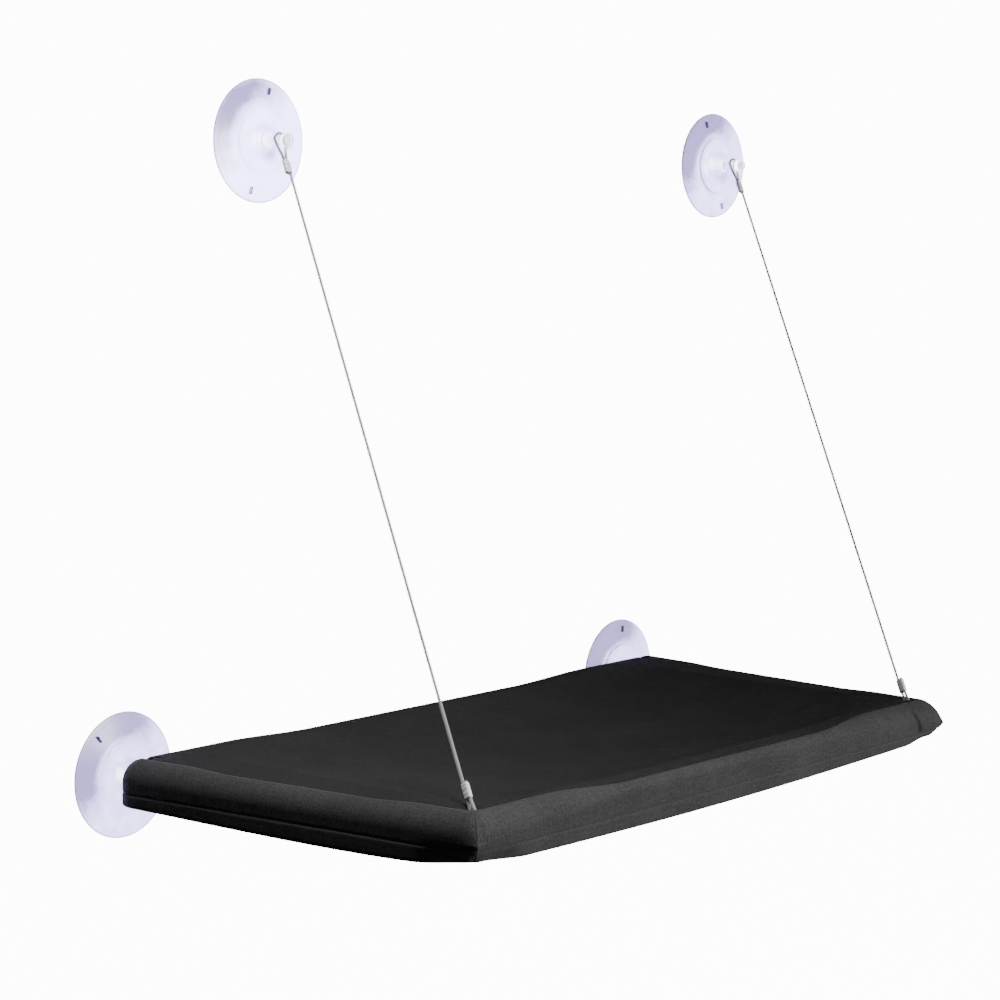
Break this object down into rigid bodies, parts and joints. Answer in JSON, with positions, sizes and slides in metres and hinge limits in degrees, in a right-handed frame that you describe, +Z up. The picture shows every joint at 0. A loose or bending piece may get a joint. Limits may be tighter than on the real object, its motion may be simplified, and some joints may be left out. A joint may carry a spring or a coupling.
{
  "type": "window mounted cat perch",
  "caption": "Cloth covered tube-frame cat bed hung on a window by suction cups and two taut cables; folds up on its rear tube.",
  "frame": {"origin": "on the glass, midway between the centres of the two lower suction cups", "axes": "+X along the glass to the right seen from the room, +Y out through the glass, +Z up"},
  "size_m": [0.738, 0.3093, 0.5055],
  "materials": {
    "vinyl": "clear soft vinyl with a pale lavender tint",
    "pipe": "white extruded tube",
    "fitting": "white moulded fitting",
    "cap": "soft black cap",
    "pin": "plain steel pin",
    "cable": "twisted steel under a clear vinyl sheath",
    "sleeve": "crimped sleeve",
    "deck_cloth": "dark woven cloth",
    "side_cloth": "dark woven cloth",
    "elastic": "flat elastic band"
  },
  "bodies": {
    "glass_fixings": {"suction_cup_upper_left": "vinyl", "suction_cup_upper_right": "vinyl", "suction_cup_lower_left": "vinyl", "suction_cup_lower_right": "vinyl", "rear_tube": "pipe", "rear_cap_left": "cap", "rear_cap_right": "cap", "cable_left": "cable", "cable_right": "cable", "sleeve_upper_left": "sleeve", "sleeve_upper_right": "sleeve"},
    "bed": {"tee_left": "fitting", "tee_right": "fitting", "end_tube_left": "pipe", "end_tube_right": "pipe", "corner_left": "fitting", "corner_right": "fitting", "front_tube": "pipe", "anchor_pin_left": "pin", "anchor_pin_right": "pin", "sleeve_lower_left": "sleeve", "sleeve_lower_right": "sleeve", "cover_deck": "deck_cloth", "cover_front": "side_cloth", "cover_rear": "side_cloth", "cover_left": "side_cloth", "cover_right": "side_cloth", "hem_elastic": "elastic"}
  },
  "joints": [
    {"name": "bed_fold", "type": "hinge", "parent": "glass_fixings", "child": "bed", "pos_m": [0, -0.028, 0], "axis": [-1, 0, 0], "range_deg": [0, 85], "deforming": ["cable_left", "cable_right"]}
  ]
}
